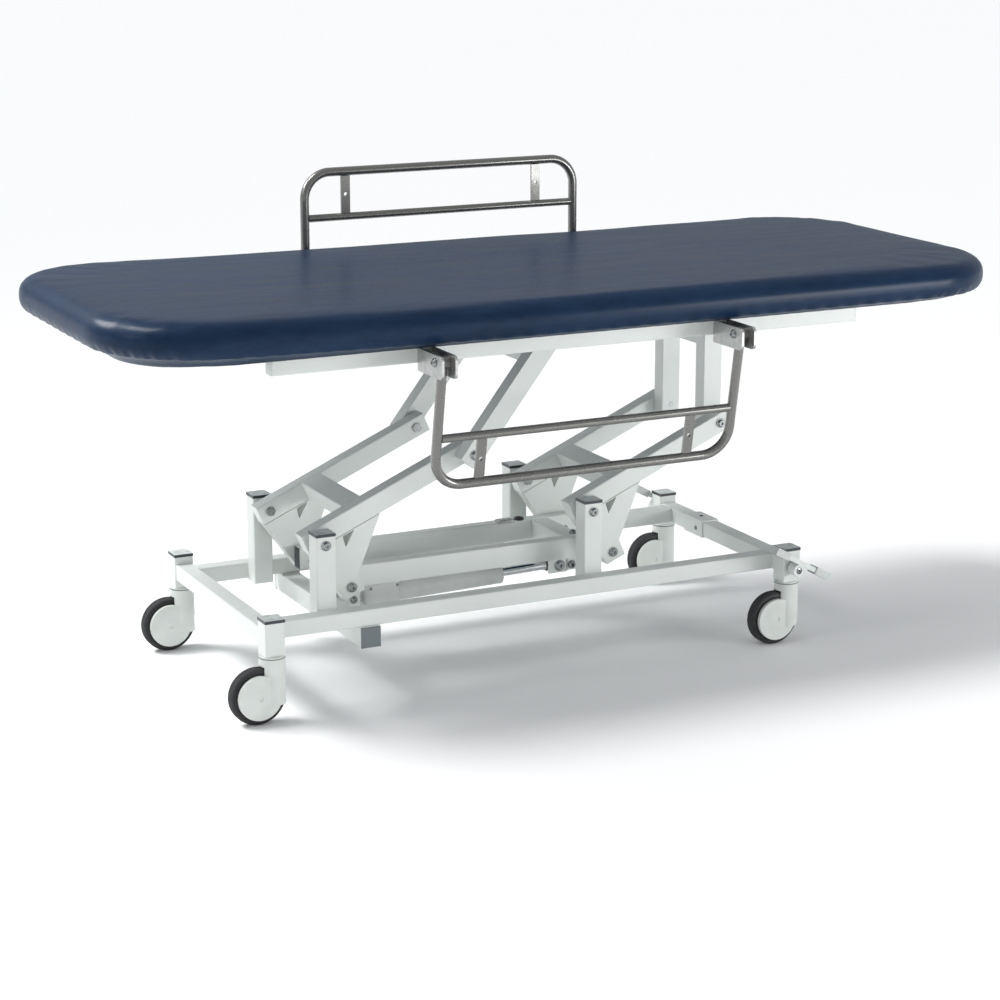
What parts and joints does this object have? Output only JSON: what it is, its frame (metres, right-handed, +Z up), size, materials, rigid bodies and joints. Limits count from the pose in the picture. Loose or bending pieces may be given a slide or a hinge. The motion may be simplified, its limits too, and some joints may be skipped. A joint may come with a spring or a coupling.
{
  "type": "medical exam table",
  "caption": "Mobile height-adjustable exam and changing table: padded top on a parallelogram lift, fold-down side rails, braked casters.",
  "frame": {"origin": "on the floor, under the middle of the mattress", "axes": "+X along the table towards the brake-pedal end, +Y towards the raised side rail, +Z up"},
  "size_m": [1.9, 0.872, 0.9465],
  "materials": {
    "frame_paint": "satin powder coat",
    "rail_paint": "satin metallic paint",
    "bracket_metal": "zinc plated sheet",
    "zinc": "zinc plated",
    "chrome": "polished",
    "cap_plastic": "moulded",
    "pedal_rubber": "matt",
    "caster_plastic": "moulded, satin",
    "hub_plastic": "moulded",
    "tyre": "soft tread",
    "actuator_plastic": "moulded, fine texture",
    "board": "laminated plywood",
    "upholstery": "vinyl-coated fabric, satin"
  },
  "bodies": {
    "base": {"base_rail_near": "frame_paint", "base_rail_far": "frame_paint", "base_end_rail_left": "frame_paint", "base_end_rail_right": "frame_paint", "corner_posts": "frame_paint", "corner_post_caps": "cap_plastic", "caster_collars": "caster_plastic", "lift_posts": "frame_paint", "lift_post_caps": "cap_plastic", "lower_pivot_bolts": "zinc", "base_cross_tube": "frame_paint", "cross_tube_end_caps": "cap_plastic", "actuator_rear_bracket": "frame_paint", "actuator_rear_pin": "zinc"},
    "brake": {"brake_shaft": "zinc", "brake_pedals": "frame_paint", "pedal_pads": "pedal_rubber"},
    "caster_front_left": {"caster_fork_front_left": "caster_plastic"},
    "wheel_front_left": {"wheel_hub_front_left": "hub_plastic", "tyre_front_left": "tyre"},
    "caster_back_left": {"caster_fork_back_left": "caster_plastic"},
    "wheel_back_left": {"wheel_hub_back_left": "hub_plastic", "tyre_back_left": "tyre"},
    "caster_front_right": {"caster_fork_front_right": "caster_plastic"},
    "wheel_front_right": {"wheel_hub_front_right": "hub_plastic", "tyre_front_right": "tyre"},
    "caster_back_right": {"caster_fork_back_right": "caster_plastic"},
    "wheel_back_right": {"wheel_hub_back_right": "hub_plastic", "tyre_back_right": "tyre"},
    "left_arm": {"left_lift_arms": "frame_paint", "left_arm_cross_tube": "frame_paint", "left_levers": "frame_paint"},
    "right_arm": {"right_lift_arms": "frame_paint", "right_arm_cross_tube": "frame_paint", "right_levers": "frame_paint"},
    "link": {"link_bars": "frame_paint", "link_pins": "zinc", "link_cross_tube": "frame_paint", "actuator_front_lugs": "frame_paint", "actuator_front_pin": "zinc"},
    "actuator": {"actuator_drive_unit": "actuator_plastic", "actuator_outer_tube": "actuator_plastic"},
    "actuator_rod": {"actuator_rod": "chrome"},
    "bed": {"bed_long_rails": "frame_paint", "bed_cross_rails": "frame_paint", "mattress_board": "board", "mattress": "upholstery", "left_legs": "frame_paint", "right_legs": "frame_paint", "leg_braces": "frame_paint", "upper_pivot_bolts": "zinc", "rail_brackets_near": "bracket_metal", "rail_brackets_far": "bracket_metal", "rail_hinge_bolts": "zinc"},
    "near_rail": {"near_rail_frame": "rail_paint", "near_rail_middle_tube": "rail_paint", "near_rail_bars": "rail_paint"},
    "far_rail": {"far_rail_frame": "rail_paint", "far_rail_middle_tube": "rail_paint", "far_rail_bars": "rail_paint"}
  },
  "joints": [
    {"name": "lift", "type": "hinge", "parent": "base", "child": "left_arm", "pos_m": [-0.491, 0, 0.308], "axis": [0, -1, 0], "range_deg": [-43.5, 16.5]},
    {"name": "right_arm_turn", "type": "hinge", "parent": "base", "child": "right_arm", "pos_m": [0.085, 0, 0.308], "axis": [0, -1, 0], "range_deg": [-44, 17]},
    {"name": "bed_level", "type": "hinge", "parent": "left_arm", "child": "bed", "pos_m": [-0.17003, 0, 0.44756], "axis": [0, -1, 0], "range_deg": [-17, 44]},
    {"name": "link_level", "type": "hinge", "parent": "left_arm", "child": "link", "pos_m": [-0.41797, 0, 0.20399], "axis": [0, -1, 0], "range_deg": [-17, 44]},
    {"name": "actuator_tilt", "type": "hinge", "parent": "base", "child": "actuator", "pos_m": [-0.366, 0, 0.14], "axis": [0, -1, 0], "range_deg": [-6, 3]},
    {"name": "rod_tilt", "type": "hinge", "parent": "link", "child": "actuator_rod", "pos_m": [0.098, 0, 0.152], "axis": [0, -1, 0], "range_deg": [-6, 3]},
    {"name": "brake_pedal_turn", "type": "hinge", "parent": "base", "child": "brake", "pos_m": [0.501, 0, 0.162], "axis": [0, -1, 0], "range_deg": [0, 60]},
    {"name": "near_rail_swing", "type": "hinge", "parent": "bed", "child": "near_rail", "pos_m": [-0.031, -0.405, 0.69], "axis": [-1, 0, 0], "range_deg": [0, 190]},
    {"name": "far_rail_swing", "type": "hinge", "parent": "bed", "child": "far_rail", "pos_m": [0.03, 0.405, 0.69], "axis": [-1, 0, 0], "range_deg": [0, 190]},
    {"name": "swivel_front_left", "type": "hinge", "parent": "base", "child": "caster_front_left", "pos_m": [-0.631, -0.254, 0.128], "axis": [0, 0, 1], "continuous": true},
    {"name": "roll_front_left", "type": "hinge", "parent": "caster_front_left", "child": "wheel_front_left", "pos_m": [-0.663, -0.254, 0.055], "axis": [0, 1, 0], "continuous": true},
    {"name": "swivel_back_left", "type": "hinge", "parent": "base", "child": "caster_back_left", "pos_m": [-0.631, 0.254, 0.128], "axis": [0, 0, 1], "continuous": true},
    {"name": "roll_back_left", "type": "hinge", "parent": "caster_back_left", "child": "wheel_back_left", "pos_m": [-0.663, 0.254, 0.055], "axis": [0, 1, 0], "continuous": true},
    {"name": "swivel_front_right", "type": "hinge", "parent": "base", "child": "caster_front_right", "pos_m": [0.501, -0.254, 0.128], "axis": [0, 0, 1], "continuous": true},
    {"name": "roll_front_right", "type": "hinge", "parent": "caster_front_right", "child": "wheel_front_right", "pos_m": [0.469, -0.254, 0.055], "axis": [0, 1, 0], "continuous": true},
    {"name": "swivel_back_right", "type": "hinge", "parent": "base", "child": "caster_back_right", "pos_m": [0.501, 0.254, 0.128], "axis": [0, 0, 1], "continuous": true},
    {"name": "roll_back_right", "type": "hinge", "parent": "caster_back_right", "child": "wheel_back_right", "pos_m": [0.469, 0.254, 0.055], "axis": [0, 1, 0], "continuous": true}
  ],
  "couplings": [
    {"joint": "right_arm_turn", "follows": "lift", "ratio": 1},
    {"joint": "bed_level", "follows": "lift", "ratio": -1},
    {"joint": "link_level", "follows": "lift", "ratio": -1},
    {"joint": "actuator_tilt", "follows": "lift", "ratio": 0.1025},
    {"joint": "rod_tilt", "follows": "lift", "ratio": 0.1025}
  ]
}
